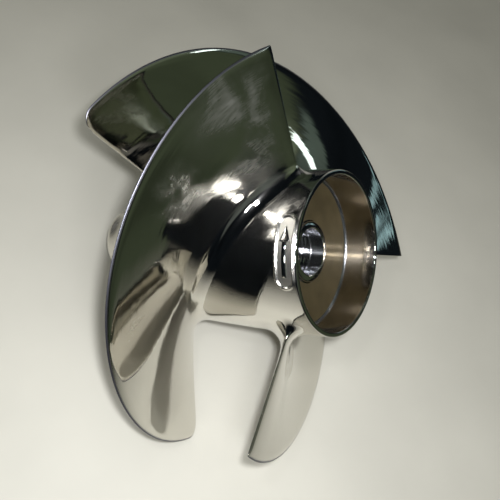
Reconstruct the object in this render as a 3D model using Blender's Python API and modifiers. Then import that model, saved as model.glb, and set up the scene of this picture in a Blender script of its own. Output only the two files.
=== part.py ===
"""Three-blade axial pump impeller, one polished stainless casting.

It is modelled on its own shaft axis (local Z runs from the open rear end of
the hub to the nose) and then laid down the way it rests on a floor: on the
nose, on the leading corner of blade 1 and on the outer edge of blade 3.
"""
import math

import bmesh
import bpy
from mathutils import Matrix, Vector

MM = 0.001

# Hub, outer shape as (distance from the rear rim, radius)
HUB_OUTER = (
    (0.0, 28.95), (0.5, 29.45), (10.0, 29.70), (20.0, 29.87), (30.0, 29.95),
    (40.0, 29.93), (50.0, 29.84), (58.0, 29.60), (64.0, 29.00), (70.0, 27.55),
    (76.0, 25.10), (82.0, 22.00), (88.0, 19.00), (93.0, 16.80), (97.0, 15.50),
    (100.5, 14.90), (103.0, 14.80), (105.5, 14.80), (106.46, 14.61), (107.27, 14.07),
    (107.81, 13.26), (108.0, 12.30),
)
HUB_STEPS = 80

# Hub, inside from the nose to the rear rim
SPLINE_BORE_RADIUS = 10.0
NOSE_CHAMFER = 0.8
HUB_LENGTH = 108.0
THREAD_FRONT = 36.0
THREAD_RADIUS = 8.1
THREAD_CHAMFER = 0.8
COLLAR_RADIUS = 11.0
COLLAR_HEIGHT = 1.2
RECESS_DEPTH = 13.2
RECESS_RADIUS = 27.7
RECESS_CORNER = 0.6
RIM_CHAMFER = 0.4

# Blades
BLADES = 3
WRAP = math.radians(150.0)
TIP_RADIUS_REAR = 74.02
TIP_RADIUS_FRONT = 77.55
ROOT_RADIUS = 26.6
EDGE_STATIONS = (8.85, 19.66, 30.97, 41.60, 51.56, 62.09)
TRAILING_SHIFT = 1.19
LEADING_SHIFT = (2.65, -1.88)
LEADING_SWEEP = (0.061, 0.113)
CORNER_RADIUS = 6.0
TIP_THICKNESS = 1.3
ROOT_THICKNESS = 3.6
EDGE_THICKNESS = 1.1
EDGE_TAPER = 14.0
FILLET = 6.0
CHORD_STEPS = 27
CORNER_STEPS = 4
SPAN_STEPS = 7
FILLET_DEPTHS = (4.2, 2.7, 1.5, 0.7, 0.25, -0.4)
ROUND_STEPS = 3

# Oblong frame raised on the hub, beside the rim
PLATE_ANGLE = math.radians(-60.7)
PLATE_STATION = 4.6
PLATE_LENGTH = 24.2
PLATE_WIDTH = 6.4
BEAD_RADIUS = 0.6
BEAD_STEPS = 8

# Resting position on the floor
REST_SPIN = math.radians(-77.638)
REST_TILT = math.radians(-132.012)

STEEL_COLOUR = (0.78, 0.77, 0.74, 1.0)


def clear_scene():
    for old in list(bpy.data.objects):
        bpy.data.objects.remove(old, do_unlink=True)


def steel_material():
    material = bpy.data.materials.new("polished_steel")
    material.use_nodes = True
    shader = material.node_tree.nodes["Principled BSDF"]
    shader.inputs["Base Color"].default_value = STEEL_COLOUR
    shader.inputs["Metallic"].default_value = 1.0
    shader.inputs["Roughness"].default_value = 0.08
    material.diffuse_color = STEEL_COLOUR
    return material


def hub_radius(station):
    """Outer radius of the hub at a distance from the rear rim."""
    for (s0, r0), (s1, r1) in zip(HUB_OUTER, HUB_OUTER[1:]):
        if s0 <= station <= s1:
            return r0 + (r1 - r0) * (station - s0) / (s1 - s0)
    return HUB_OUTER[-1][1]


def hub_profile():
    """Closed outline of the hub wall: down the outside, up the inside."""
    outline = [(radius, station) for station, radius in reversed(HUB_OUTER)]
    outline += [
        (RECESS_RADIUS + RIM_CHAMFER, 0.0),
        (RECESS_RADIUS, RIM_CHAMFER),
        (RECESS_RADIUS, RECESS_DEPTH - RECESS_CORNER),
        (RECESS_RADIUS - RECESS_CORNER, RECESS_DEPTH),
        (COLLAR_RADIUS + 0.5 * COLLAR_HEIGHT, RECESS_DEPTH),
        (COLLAR_RADIUS, RECESS_DEPTH - 0.5 * COLLAR_HEIGHT),
        (THREAD_RADIUS + THREAD_CHAMFER, RECESS_DEPTH - COLLAR_HEIGHT),
        (THREAD_RADIUS, RECESS_DEPTH - COLLAR_HEIGHT + THREAD_CHAMFER),
        (THREAD_RADIUS, THREAD_FRONT),
        (SPLINE_BORE_RADIUS, THREAD_FRONT + 2.0),
        (SPLINE_BORE_RADIUS, HUB_LENGTH - NOSE_CHAMFER),
        (SPLINE_BORE_RADIUS + NOSE_CHAMFER, HUB_LENGTH),
    ]
    return outline


def make_hub(collection):
    mesh = bpy.data.meshes.new("impeller")
    outline = [(radius * MM, 0.0, station * MM) for radius, station in hub_profile()]
    count = len(outline)
    mesh.from_pydata(outline, [(i, (i + 1) % count) for i in range(count)], [])
    hub = bpy.data.objects.new("impeller", mesh)
    collection.objects.link(hub)
    screw = hub.modifiers.new("turned", "SCREW")
    screw.axis = "Z"
    screw.steps = HUB_STEPS
    screw.render_steps = HUB_STEPS
    screw.use_merge_vertices = True
    screw.merge_threshold = 0.00001
    screw.use_smooth_shade = True
    return hub


def edge_station(turn):
    """Distance from the rear rim of the blade's outer edge at 0 (trailing) to 1."""
    last = len(EDGE_STATIONS) - 1
    place = min(max(turn, 0.0), 1.0) * last
    i = min(int(place), last - 1)
    t = place - i
    p1, p2 = EDGE_STATIONS[i], EDGE_STATIONS[i + 1]
    p0 = EDGE_STATIONS[i - 1] if i > 0 else 2.0 * p1 - p2
    p3 = EDGE_STATIONS[i + 2] if i + 2 <= last else 2.0 * p2 - p1
    return 0.5 * (2.0 * p1 + (p2 - p0) * t + (2.0 * p0 - 5.0 * p1 + 4.0 * p2 - p3) * t * t
                  + (3.0 * p1 - p0 - 3.0 * p2 + p3) * t ** 3)


def tip_radius(turn):
    """Outer radius, cut back in a round at the leading corner."""
    radius = TIP_RADIUS_REAR + (TIP_RADIUS_FRONT - TIP_RADIUS_REAR) * turn
    from_edge = (1.0 - turn) * WRAP * radius
    if from_edge < CORNER_RADIUS:
        gap = CORNER_RADIUS - from_edge
        radius -= CORNER_RADIUS - math.sqrt(CORNER_RADIUS ** 2 - gap ** 2)
    return radius


def depth_share(turn, radius):
    """0 at the blade's tip, 1 at its root."""
    full = TIP_RADIUS_REAR + (TIP_RADIUS_FRONT - TIP_RADIUS_REAR) * turn
    return (full - radius) / (full - ROOT_RADIUS)


def middle_line(turn, radius):
    """(angle, distance from the rear rim) of the blade's middle surface."""
    depth = depth_share(turn, radius)
    sweep = LEADING_SWEEP[0] * depth + LEADING_SWEEP[1] * depth * depth
    lead = LEADING_SHIFT[0] * depth + LEADING_SHIFT[1] * depth * depth
    station = edge_station(turn) + (1.0 - turn) * TRAILING_SHIFT * depth + turn * lead
    return -turn * (WRAP - sweep), station


def half_thickness(turn, radius):
    """Half the blade's thickness, thinner towards the tip and both end edges."""
    body = TIP_THICKNESS + (ROOT_THICKNESS - TIP_THICKNESS) * depth_share(turn, radius)
    from_end = min(turn, 1.0 - turn) * WRAP * radius
    share = min(from_end / EDGE_TAPER, 1.0)
    share = share * (2.0 - share)
    return 0.5 * (EDGE_THICKNESS + (body - EDGE_THICKNESS) * share)


def fillet_offset(height):
    """How far the root fillet stands out from the blade at a height above the hub."""
    if height >= FILLET:
        return 0.0
    reach = FILLET - max(height, 0.0)
    return FILLET - math.sqrt(max(FILLET ** 2 - reach ** 2, 0.0)) + max(-height, 0.0)


def level_radius(turn, station, level):
    """Radius of one loft level: even steps down the blade, then down the root fillet."""
    base = hub_radius(station)
    if level > SPAN_STEPS:
        return base + FILLET_DEPTHS[level - SPAN_STEPS - 1]
    top = tip_radius(turn)
    return top + (base + FILLET - top) * level / SPAN_STEPS


def chord_turns():
    """Steps along the blade, closer at both ends and round the leading corner."""
    corner = CORNER_RADIUS / (WRAP * TIP_RADIUS_FRONT)
    turns = []
    for i in range(CHORD_STEPS + 1):
        t = i / CHORD_STEPS
        turns.append((1.0 - corner) * (0.6 * t + 0.4 * (0.5 - 0.5 * math.cos(math.pi * t))))
    for i in range(1, CORNER_STEPS + 1):
        a = 0.5 * math.pi * i / CORNER_STEPS
        turns.append(1.0 - corner * (1.0 - math.sin(a)))
    return turns


def blade_section(level, turns):
    """Closed loop of points round the blade at one level, laid out on cylinders."""
    step = 0.002
    face_a, face_b, ends = [], [], []

    def place(spot, turn, radius):
        final = level_radius(turn, spot.y, level)
        angle = spot.x / radius
        return Vector((final * math.cos(angle), final * math.sin(angle), spot.y))

    for turn in turns:
        radius = level_radius(turn, middle_line(turn, ROOT_RADIUS)[1], level)
        angle, station = middle_line(turn, radius)
        low = middle_line(max(turn - step, 0.0), radius)
        high = middle_line(min(turn + step, 1.0), radius)
        along = Vector((radius * (high[0] - low[0]), high[1] - low[1])).normalized()
        across = Vector((-along.y, along.x))
        spot = Vector((radius * angle, station))
        half = half_thickness(turn, radius) + fillet_offset(radius - hub_radius(station))
        face_a.append(place(spot + across * half, turn, radius))
        face_b.append(place(spot - across * half, turn, radius))
        if turn in (turns[0], turns[-1]):
            sign = 1.0 if turn == turns[-1] else -1.0
            arc = []
            for i in range(1, ROUND_STEPS + 1):
                a = math.pi * (0.5 - i / (ROUND_STEPS + 1))
                shift = along * (sign * half * math.cos(a)) + across * (half * math.sin(a))
                arc.append(place(spot + shift, turn, radius))
            ends.append(arc)
    trailing, leading = ends
    return face_a + leading + list(reversed(face_b)) + list(reversed(trailing))


def make_blade(index, collection):
    """Loft the sections from tip to root and close both ends."""
    turns = chord_turns()
    levels = SPAN_STEPS + 1 + len(FILLET_DEPTHS)
    bm = bmesh.new()
    rings = []
    for level in range(levels):
        ring = [bm.verts.new(point * MM) for point in blade_section(level, turns)]
        rings.append(ring)
    size = len(rings[0])
    for upper, lower in zip(rings, rings[1:]):
        for i in range(size):
            j = (i + 1) % size
            bm.faces.new((upper[i], upper[j], lower[j], lower[i]))
    for ring, flip in ((rings[0], False), (rings[-1], True)):
        close_end(bm, ring, len(turns), flip)
    bmesh.ops.recalc_face_normals(bm, faces=bm.faces)
    bmesh.ops.rotate(bm, cent=(0.0, 0.0, 0.0), verts=bm.verts,
                     matrix=Matrix.Rotation(index * math.tau / BLADES, 3, "Z"))
    mesh = bpy.data.meshes.new("blade_%d" % (index + 1))
    bm.to_mesh(mesh)
    bm.free()
    for polygon in mesh.polygons:
        polygon.use_smooth = True
    blade = bpy.data.objects.new(mesh.name, mesh)
    collection.objects.link(blade)
    return blade


def close_end(bm, ring, count, flip):
    """Fill a loft end with a strip between the two faces."""
    face_a = ring[:count]
    leading = ring[count:count + ROUND_STEPS]
    face_b = list(reversed(ring[count + ROUND_STEPS:2 * count + ROUND_STEPS]))
    trailing = ring[2 * count + ROUND_STEPS:]
    quads = [(face_a[i], face_a[i + 1], face_b[i + 1], face_b[i]) for i in range(count - 1)]
    quads.append([face_a[-1]] + leading + [face_b[-1]])
    quads.append([face_b[0]] + trailing + [face_a[0]])
    for quad in quads:
        bm.faces.new(list(reversed(quad)) if flip else quad)


def make_bead(collection):
    """Round bead in the shape of an oblong, laid on the hub."""
    straight = 0.5 * (PLATE_LENGTH - PLATE_WIDTH)
    end = 0.5 * PLATE_WIDTH
    path = []
    for side in (1.0, -1.0):
        for i in range(BEAD_STEPS + 1):
            a = math.pi * i / BEAD_STEPS - 0.5 * math.pi
            path.append((side * (straight + end * math.cos(a)), side * end * math.sin(a)))
        for i in range(1, 5):
            path.append((side * straight * (1.0 - 2.0 * i / 5.0), side * end))
    curve = bpy.data.curves.new("plate_frame", "CURVE")
    curve.dimensions = "3D"
    curve.bevel_depth = BEAD_RADIUS * MM
    curve.bevel_resolution = 2
    spline = curve.splines.new("POLY")
    spline.points.add(len(path) - 1)
    for point, (around, along) in zip(spline.points, path):
        station = PLATE_STATION + along
        radius = hub_radius(station)
        angle = PLATE_ANGLE + around / radius
        point.co = (radius * math.cos(angle) * MM, radius * math.sin(angle) * MM,
                    station * MM, 1.0)
    spline.use_cyclic_u = True
    path_object = bpy.data.objects.new("plate_frame_path", curve)
    bead = bpy.data.objects.new("plate_frame", bpy.data.meshes.new_from_object(path_object))
    bpy.data.objects.remove(path_object)
    collection.objects.link(bead)
    return bead


def join(target, tool):
    """Boolean union of a tool object into the casting."""
    union = target.modifiers.new(tool.name, "BOOLEAN")
    union.operation = "UNION"
    union.solver = "EXACT"
    union.object = tool
    tool.hide_render = True
    tool.display_type = "WIRE"
    return union


def lay_down(objects):
    """Turn everything to its resting position with the lowest point on the floor."""
    turn = Matrix.Rotation(REST_TILT, 4, "X") @ Matrix.Rotation(REST_SPIN, 4, "Z")
    for item in objects:
        item.matrix_world = turn @ item.matrix_world
    bpy.context.view_layer.update()
    graph = bpy.context.evaluated_depsgraph_get()
    solid = objects[0].evaluated_get(graph)
    points = [solid.matrix_world @ vertex.co for vertex in solid.data.vertices]
    low = Vector([min(point[i] for point in points) for i in range(3)])
    high = Vector([max(point[i] for point in points) for i in range(3)])
    move = Vector((-0.5 * (low.x + high.x), -0.5 * (low.y + high.y), -low.z))
    for item in objects:
        item.matrix_world = Matrix.Translation(move) @ item.matrix_world


def main():
    clear_scene()
    collection = bpy.data.collections.new("pump_impeller")
    bpy.context.scene.collection.children.link(collection)
    tools = bpy.data.collections.new("joined_shapes")
    bpy.context.scene.collection.children.link(tools)
    tools.hide_render = True
    casting = make_hub(collection)
    shapes = [make_blade(index, tools) for index in range(BLADES)]
    shapes.append(make_bead(tools))
    for shape in shapes:
        join(casting, shape)
    casting.data.materials.append(steel_material())
    lay_down([casting] + shapes)


main()
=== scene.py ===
"""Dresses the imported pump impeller: one polished casting with its turned and threaded bores.

The shapes are worked out on the impeller's own shaft axis, with Z running from the open
rear end of the hub to the nose, and every piece is then laid down as the frame lies.
All lengths are in metres.
"""

import math

import bmesh
import bpy
import numpy as np
from bpy.props import FloatProperty, FloatVectorProperty, IntProperty, PointerProperty
from mathutils import Matrix, Vector
from mathutils.geometry import delaunay_2d_cdt


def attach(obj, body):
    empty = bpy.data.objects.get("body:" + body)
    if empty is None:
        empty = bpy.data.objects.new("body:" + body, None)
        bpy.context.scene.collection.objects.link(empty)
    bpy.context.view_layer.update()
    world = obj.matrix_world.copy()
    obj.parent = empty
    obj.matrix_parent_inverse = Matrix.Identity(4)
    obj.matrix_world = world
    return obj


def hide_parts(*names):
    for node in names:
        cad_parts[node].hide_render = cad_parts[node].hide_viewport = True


bl_info = {
    "name": "Pump Impeller",
    "version": (1, 0, 0),
    "blender": (4, 5, 0),
    "location": "View3D > Sidebar > Impeller",
    "description": "Polished three-blade pump impeller on a plain studio floor",
    "category": "Object",
}

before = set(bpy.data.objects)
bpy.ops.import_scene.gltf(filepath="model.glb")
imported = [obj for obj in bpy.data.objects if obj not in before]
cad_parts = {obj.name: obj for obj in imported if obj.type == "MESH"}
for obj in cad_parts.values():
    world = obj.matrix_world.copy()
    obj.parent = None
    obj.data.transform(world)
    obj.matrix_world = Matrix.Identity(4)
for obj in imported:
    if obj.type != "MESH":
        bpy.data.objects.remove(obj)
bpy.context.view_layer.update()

# Hub outline as (distance from the rear rim, radius), without its rounded ends
HUB_LINE = (
    (0.0005, 0.02945), (0.010, 0.02970), (0.020, 0.02987), (0.030, 0.02995),
    (0.040, 0.02993), (0.050, 0.02984), (0.058, 0.02960), (0.064, 0.02900),
    (0.070, 0.02755), (0.076, 0.02510), (0.082, 0.02200), (0.088, 0.01900),
    (0.093, 0.01680), (0.097, 0.01550), (0.1005, 0.01490), (0.103, 0.01480),
    (0.1055, 0.01480),
)
# Distance of a blade's outer edge from the rear rim, every 30 degrees from the trailing edge
EDGE_LINE = (0.00885, 0.01966, 0.03097, 0.04160, 0.05156, 0.06209)
BLADES = 3
# Flat sides that stand for a turned circle
SEGMENTS = 216
# Distance along the shaft that a blade covers in a radian
BLADE_LEAD = 0.0203
# How a blade's middle leans as it nears the hub, as factors of its depth and of the depth squared:
# round the shaft in radians, and along the shaft at the leading edge
ROOT_SWEEP = (0.061, 0.113)
FRONT_LEAN = (0.00265, -0.00188)
# The same along the shaft at the trailing edge, as a factor of the depth
REAR_LEAN = 0.00119
# Share of a blade's thickness that the polishing has left at its end edges
EDGE_LEFT = 0.4
# Radius at which the hub's skin is unrolled
SKIN_RADIUS = 0.0297
# Seam between the thirds of the hub's skin, as (distance from the rear rim, segments round the hub)
HUB_SEAM = ((HUB_LINE[0][0], 12), (0.010, 0), (0.063, -84), (0.076, -102), (HUB_LINE[-1][0], -102))
SEAM_SHIFT = 36
# Rounds of the rim's outer and inner edges, and of the nose
RIM_OUTER = 0.0005
RIM_INNER = 0.0004
NOSE_ROUND = 0.0025
# Where the recess wall begins, from the rear rim
WALL_START = 0.0009
# Foot of the collar, as (distance outside its radius, height over the recess floor)
COLLAR_FOOT = ((0.0006, 0.0), (0.0002, 0.0003))
# How far the feet of raised forms lie under the hub's skin
SUNK = 0.00002
# Share of a wiped mark's reach within which it is at its dullest
WIPE_CORE = 0.2
# Middles and reaches of the wiped marks, on the shaft axis
WIPE_MARKS = (
    ((0.0550, -0.0180, 0.0145), 0.032),
    ((0.0428, -0.0413, 0.0245), 0.016),
    ((-0.0200, 0.0450, 0.0300), 0.026),
    ((-0.0450, -0.0350, 0.0300), 0.024),
)
# Distance over which the mirrored floor fades, a painted shade for the lamps' light falling off across
# the far floor, and the share of a distance that counts behind the part
FLOOR_REACH = 0.40
FLOOR_BEHIND = 0.35
# How strongly the steel mirrors the floor, as (share of the reach, strength); the drop with distance is
# painted shade
MIRRORED_FLOOR = (
    (0.0, 1.0), (0.20, 1.0), (0.30, 0.68), (0.43, 0.38), (0.56, 0.20), (0.66, 0.11),
    (0.74, 0.04), (0.85, 0.0),
)
# Patches of sky that the steel mirrors, each painted over those before it, as
# (colour, azimuths in degrees, heights, softness of the sides, softness of the top and bottom).
# Azimuth 0 is -Y and 90 is +X, and a height is the sine of the elevation.
SKY = (
    ("wall", (-1, 37.5), (-2.0, 0.76), 3, 0.04),
    ("upper_wall", (-6, 37.5), (0.67, 0.97), 4, 0.07),
    ("side_wall", (39.5, 62), (0.57, 0.78), 1.5, 0.012),
    ("mirrored_wall", (35, 58), (0.20, 0.585), 4, 0.02),
    ("window", (49, 58.5), (-0.02, 0.20), 0.4, 0.008),
    ("upper_grey", (-58, -4), (0.80, 0.97), 8, 0.03),
    ("side_grey", (66, 104), (0.36, 0.90), 8, 0.05),
    ("dim_wall", (106, 150), (-0.02, 0.84), 8, 0.05),
    ("soft_grey", (70, 110), (-0.2, 0.42), 6, 0.08),
    ("far_grey", (152, 400), (-0.2, 0.60), 12, 0.06),
    ("far_grey", (-400, -152), (-0.2, 0.60), 12, 0.06),
    ("front_grey", (-47, -11), (0.12, 0.90), 5, 0.05),
)
# What the lamps point at, and their colour where it is plain
MIDDLE = (0.0, 0.0, 0.05)
HUB = (-0.013, 0.0, 0.092)
WHITE = (0.96, 0.97, 1.0)
# Place of the key light beside the lens, in the camera's own axes
KEY_PLACE = (0.010, 0.008, 0.002)
# The other lamps, as (name, place, aim, size, power, colour)
LAMPS = (
    ("soft_light", (-0.30, -0.14, 0.62), MIDDLE, (0.40, 0.41), 0.95, (1.0, 1.0, 0.93)),
    ("lamp_left", (-0.1555, -0.0605, 0.2339), HUB, (0.028, 0.028), 0.16, WHITE),
    ("lamp_high", (-0.1278, 0.0161, 0.2671), HUB, (0.016, 0.016), 0.08, WHITE),
    ("strip_light", (0.80, -0.80, 1.12), (0.04, 0.0, 0.10), (0.36, 0.075), 0.22, (0.85, 1.0, 1.0)),
)
# Half the side of the square floor
FLOOR_HALF = 3.0


class ImpellerShape(bpy.types.PropertyGroup):
    """Sizes of the casting."""
    rest_spin: FloatProperty(
        name="Rest spin", description="Turn about the shaft at rest",
        default=math.radians(-77.638), subtype="ANGLE")
    rest_tilt: FloatProperty(
        name="Rest tilt", description="Tilt of the shaft at rest",
        default=math.radians(-132.012), subtype="ANGLE")
    rim_centre: FloatVectorProperty(
        name="Rim centre", description="Middle of the hub's rear rim at rest",
        default=(0.000692, -0.034304, 0.082246), subtype="XYZ", unit="LENGTH", precision=6)
    wrap: FloatProperty(
        name="Wrap", description="How far each blade winds round the hub",
        default=math.radians(150.0), subtype="ANGLE")
    tip_rear: FloatProperty(
        name="Tip radius, rear", description="Blade tip radius at the trailing edge",
        default=0.07402, unit="LENGTH", precision=5)
    tip_front: FloatProperty(
        name="Tip radius, front", description="Blade tip radius at the leading edge",
        default=0.07755, unit="LENGTH", precision=5)
    root_radius: FloatProperty(
        name="Root radius", description="Radius that the blade's thickness is counted to",
        default=0.0266, unit="LENGTH", precision=5)
    corner: FloatProperty(
        name="Corner", description="Round at the leading corner of a blade",
        default=0.0060, unit="LENGTH", precision=5)
    tip_thickness: FloatProperty(
        name="Tip thickness", description="Blade thickness at the tip",
        default=0.0013, unit="LENGTH", precision=5)
    root_thickness: FloatProperty(
        name="Root thickness", description="Blade thickness at the root",
        default=0.0036, unit="LENGTH", precision=5)
    edge_thickness: FloatProperty(
        name="Edge thickness", description="Blade thickness at the end edges",
        default=0.0011, unit="LENGTH", precision=5)
    tip_round: FloatProperty(
        name="Tip round", description="How far in from the tip the polishing has rounded a blade",
        default=0.0034, unit="LENGTH", precision=5)
    edge_taper: FloatProperty(
        name="Edge taper", description="Length over which a blade thins to its end edges",
        default=0.014, unit="LENGTH", precision=5)
    fillet: FloatProperty(
        name="Root fillet", description="Radius between a blade and the hub",
        default=0.0060, unit="LENGTH", precision=5)
    recess_depth: FloatProperty(
        name="Recess depth", description="Depth of the open rear end",
        default=0.0132, unit="LENGTH", precision=5)
    recess_radius: FloatProperty(
        name="Recess radius", description="Inside radius of the open rear end",
        default=0.0277, unit="LENGTH", precision=5)
    recess_corner: FloatProperty(
        name="Recess corner", description="Round between the recess wall and floor",
        default=0.0009, unit="LENGTH", precision=5)
    collar_radius: FloatProperty(
        name="Collar radius", description="Radius of the low collar round the thread",
        default=0.0110, unit="LENGTH", precision=5)
    collar_height: FloatProperty(
        name="Collar height", description="How far the collar stands up from the recess floor",
        default=0.0012, unit="LENGTH", precision=5)
    thread_radius: FloatProperty(
        name="Thread radius", description="Inside radius of the shaft thread",
        default=0.0081, unit="LENGTH", precision=5)
    thread_pitch: FloatProperty(
        name="Thread pitch", description="Pitch of the shaft thread",
        default=0.0015, unit="LENGTH", precision=5)
    thread_depth: FloatProperty(
        name="Thread depth", description="Depth of the shaft thread",
        default=0.0008, unit="LENGTH", precision=5)
    thread_start: FloatProperty(
        name="Thread start", description="Where the thread begins, from the rear rim",
        default=0.0176, unit="LENGTH", precision=5)
    thread_end: FloatProperty(
        name="Thread end", description="Where the thread ends, from the rear rim",
        default=0.0360, unit="LENGTH", precision=5)
    spline_radius: FloatProperty(
        name="Spline radius", description="Inside radius of the nose bore",
        default=0.0100, unit="LENGTH", precision=5)
    spline_depth: FloatProperty(
        name="Spline depth", description="Depth of the grooves in the nose bore",
        default=0.0008, unit="LENGTH", precision=5)
    spline_start: FloatProperty(
        name="Spline start", description="Where the grooves begin, from the rear rim",
        default=0.0840, unit="LENGTH", precision=5)
    splines: IntProperty(
        name="Splines", description="Grooves in the nose bore", default=18, min=6)
    hub_length: FloatProperty(
        name="Hub length", description="From the rear rim to the end of the nose",
        default=0.1080, unit="LENGTH", precision=5)
    plate_angle: FloatProperty(
        name="Plate angle", description="Place of the oblong frame round the hub",
        default=math.radians(-60.7), subtype="ANGLE")
    plate_station: FloatProperty(
        name="Plate station", description="Middle of the oblong frame, from the rear rim",
        default=0.0046, unit="LENGTH", precision=5)
    plate_length: FloatProperty(
        name="Plate length", description="Length of the oblong frame round the hub",
        default=0.0242, unit="LENGTH", precision=5)
    plate_width: FloatProperty(
        name="Plate width", description="Width of the oblong frame",
        default=0.0064, unit="LENGTH", precision=5)
    bead: FloatProperty(
        name="Bead", description="Height of the frame's bead",
        default=0.0006, unit="LENGTH", precision=5)


class SteelFinish(bpy.types.PropertyGroup):
    """Colours and polish of the metal."""
    steel: FloatVectorProperty(
        name="Steel", description="Polished stainless steel",
        default=(0.66, 0.64, 0.59), subtype="COLOR", min=0.0, max=1.0)
    turned: FloatVectorProperty(
        name="Turned wall", description="Turned wall of the rear recess",
        default=(0.52, 0.48, 0.42), subtype="COLOR", min=0.0, max=1.0)
    # The recess floor is a dark dull brown, far darker than the turned wall
    turned_floor: FloatVectorProperty(
        name="Turned floor", description="Turned and stained floor of the rear recess",
        default=(0.084, 0.066, 0.033), subtype="COLOR", min=0.0, max=1.0)
    # Edge steel: a dark lilac painted on the blades' outer edges, a painted shade that dims and tints
    # their highlight; their rougher ground finish comes from edge satin
    edge: FloatVectorProperty(
        name="Edge steel", description="Ground outer edges of the blades",
        default=(0.13, 0.13, 0.155), subtype="COLOR", min=0.0, max=1.0)
    bored: FloatVectorProperty(
        name="Bored steel", description="Bright steel of the bore, its thread and the recess corner",
        default=(0.50, 0.51, 0.53), subtype="COLOR", min=0.0, max=1.0)
    polish: FloatProperty(
        name="Polish", description="Roughness of the polished skin",
        default=0.018, min=0.0, max=1.0)
    satin: FloatProperty(
        name="Satin", description="Roughness of the blades' nose sides",
        default=0.04, min=0.0, max=1.0)
    edge_satin: FloatProperty(
        name="Edge satin", description="Roughness of the blades' outer edges",
        default=0.46, min=0.0, max=1.0)
    wiped: FloatProperty(
        name="Wiped", description="Roughness where a cloth has wiped the steel",
        default=0.50, min=0.0, max=1.0)
    haze: FloatProperty(
        name="Haze", description="Weight of the hazy film over the polish",
        default=0.14, min=0.0, max=1.0)


class StudioSetup(bpy.types.PropertyGroup):
    """Floor, surroundings and camera."""
    floor: FloatVectorProperty(
        name="Floor", description="Pale floor", default=(0.56, 0.545, 0.48),
        subtype="COLOR", min=0.0, max=1.0)
    room: FloatVectorProperty(
        name="Room", description="Dim surroundings that the steel mirrors",
        default=(0.0045, 0.0062, 0.0080), subtype="COLOR", min=0.0, max=1.0)
    wall: FloatVectorProperty(
        name="Wall", description="Olive wall that the blades mirror",
        default=(0.041, 0.053, 0.032), subtype="COLOR", min=0.0, max=1.0)
    upper_wall: FloatVectorProperty(
        name="Upper wall", description="Lighter top of the wall that the blades mirror",
        default=(0.13, 0.16, 0.108), subtype="COLOR", min=0.0, max=1.0)
    side_wall: FloatVectorProperty(
        name="Side wall", description="Grey wall behind the strip light",
        default=(0.062, 0.084, 0.072), subtype="COLOR", min=0.0, max=1.0)
    window: FloatVectorProperty(
        name="Window", description="Cool window that the right blade's tip mirrors",
        default=(0.15, 0.235, 0.255), subtype="COLOR", min=0.0, max=1.0)
    soft_grey: FloatVectorProperty(
        name="Soft grey", description="Soft grey surroundings on the right",
        default=(0.30, 0.30, 0.28), subtype="COLOR", min=0.0, max=1.0)
    upper_grey: FloatVectorProperty(
        name="Upper grey", description="Dim grey surroundings high up in front",
        default=(0.036, 0.038, 0.042), subtype="COLOR", min=0.0, max=1.0)
    side_grey: FloatVectorProperty(
        name="Side grey", description="Dim grey surroundings above the soft grey",
        default=(0.10, 0.105, 0.11), subtype="COLOR", min=0.0, max=1.0)
    dim_wall: FloatVectorProperty(
        name="Dim wall", description="Dim olive surroundings on the right of the far side",
        default=(0.040, 0.052, 0.036), subtype="COLOR", min=0.0, max=1.0)
    far_grey: FloatVectorProperty(
        name="Far grey", description="Dimmer grey surroundings on the far side",
        default=(0.17, 0.17, 0.165), subtype="COLOR", min=0.0, max=1.0)
    front_grey: FloatVectorProperty(
        name="Front grey", description="Dim grey surroundings in front, left of the olive wall",
        default=(0.100, 0.112, 0.105), subtype="COLOR", min=0.0, max=1.0)
    backdrop: FloatVectorProperty(
        name="Backdrop", description="Pale backdrop behind the floor",
        default=(0.26, 0.255, 0.23), subtype="COLOR", min=0.0, max=1.0)
    mirrored_wall: FloatVectorProperty(
        name="Mirrored wall", description="Olive wall on the right, for rays mirrored twice or more",
        default=(0.095, 0.13, 0.08), subtype="COLOR", min=0.0, max=1.0)
    daylight: FloatVectorProperty(
        name="Daylight", description="Even light on the floor from all round",
        default=(0.19, 0.19, 0.17), subtype="COLOR", min=0.0, max=1.0)
    camera_place: FloatVectorProperty(
        name="Camera place", description="Where the camera stands",
        default=(-0.140219, -0.023733, 0.248174), subtype="XYZ", unit="LENGTH", precision=6)
    camera_ahead: FloatVectorProperty(
        name="Camera aim", description="Direction in which the camera looks",
        default=(0.606004, 0.090655, -0.790279), subtype="DIRECTION", precision=6)
    camera_right: FloatVectorProperty(
        name="Camera right", description="Direction of the picture's right side",
        default=(0.476294, -0.837060, 0.269212), subtype="DIRECTION", precision=6)
    lens: FloatProperty(
        name="Lens", description="Focal length on a 36 mm sensor", default=44.24,
        min=1.0, subtype="DISTANCE_CAMERA")
    shift_x: FloatProperty(
        name="Shift across", description="Sideways shift of the lens", default=-0.0039, precision=4)
    shift_y: FloatProperty(
        name="Shift up", description="Upward shift of the lens", default=-0.0345, precision=4)


def smooth_line(places, values):
    """Natural cubic curve through points, returned as a function of place."""
    x = np.asarray(places, dtype=float)
    y = np.asarray(values, dtype=float)
    n = len(x)
    gap = np.diff(x)
    system = np.eye(n)
    right = np.zeros(n)
    for i in range(1, n - 1):
        system[i, i - 1:i + 2] = gap[i - 1], 2.0 * (gap[i - 1] + gap[i]), gap[i]
        right[i] = 6.0 * ((y[i + 1] - y[i]) / gap[i] - (y[i] - y[i - 1]) / gap[i - 1])
    bend = np.linalg.solve(system, right)

    def curve(at):
        at = np.clip(np.asarray(at, dtype=float), x[0], x[-1])
        i = np.clip(np.searchsorted(x, at, side="right") - 1, 0, n - 2)
        h = gap[i]
        a = (x[i + 1] - at) / h
        b = (at - x[i]) / h
        return (a * y[i] + b * y[i + 1]
                + ((a ** 3 - a) * bend[i] + (b ** 3 - b) * bend[i + 1]) * h * h / 6.0)

    return curve


hub_radius = smooth_line([p[0] for p in HUB_LINE], [p[1] for p in HUB_LINE])
edge_station = smooth_line(np.linspace(0.0, 1.0, len(EDGE_LINE)), EDGE_LINE)


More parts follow.
